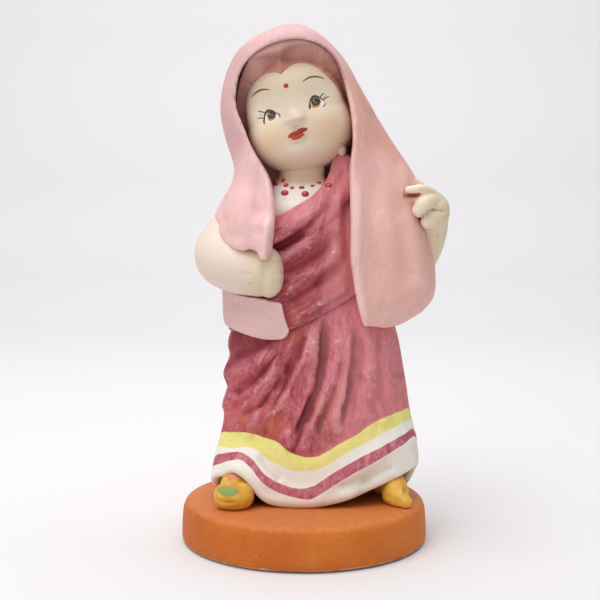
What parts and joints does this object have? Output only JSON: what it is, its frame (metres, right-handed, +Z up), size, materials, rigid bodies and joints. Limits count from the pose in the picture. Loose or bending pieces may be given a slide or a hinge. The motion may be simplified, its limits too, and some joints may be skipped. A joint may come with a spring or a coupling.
{
  "type": "painted bisque figurine",
  "caption": "Hand-painted ceramic figurine of a standing girl in a rose sari and a pink veil, one hand holding the veil's edge, luted onto a round terracotta plinth.",
  "frame": {"origin": "centre of the underside of the felt pad, the face the figurine stands on", "axes": "+Z up through the plinth; the girl faces -Y; her right hand is at -X and her left hand at +X"},
  "size_m": [0.0852, 0.08, 0.1662],
  "materials": {
    "felt": "dark glued felt",
    "terracotta": "matte painted terracotta orange with small specks",
    "shoe_yellow": "matte ochre paint over bisque",
    "sari_rose": "matte dusty rose paint, brushed, dark in the folds",
    "choli_white": "matte off-white paint",
    "skin_cream": "satin cream paint over bisque",
    "hair_brown": "matte thin reddish brown paint",
    "veil_pink": "matte pale pink paint, slightly streaked",
    "bead_red": "glossy red raised enamel"
  },
  "bodies": {
    "root": {"felt_pad": "felt", "plinth": "terracotta", "shoe_right": "shoe_yellow", "shoe_left": "shoe_yellow", "skirt": "sari_rose", "torso": "sari_rose", "pallu": "sari_rose", "bust": "choli_white", "arm_right": "skin_cream", "arm_left": "skin_cream", "hand_right": "skin_cream", "hand_left": "skin_cream", "head": "skin_cream", "hair": "hair_brown", "veil_hood": "veil_pink", "veil_back": "veil_pink", "veil_panel_right": "veil_pink", "veil_tail_right": "veil_pink", "veil_panel_left": "veil_pink", "bindi": "bead_red", "necklace_drop_01": "bead_red", "necklace_drop_02": "bead_red", "necklace_drop_03": "bead_red", "necklace_drop_04": "bead_red", "necklace_drop_05": "bead_red", "necklace_drop_06": "bead_red", "necklace_drop_07": "bead_red", "necklace_drop_08": "bead_red", "necklace_drop_09": "bead_red", "necklace_drop_10": "bead_red", "necklace_drop_11": "bead_red", "necklace_drop_12": "bead_red"}
  },
  "joints": []
}
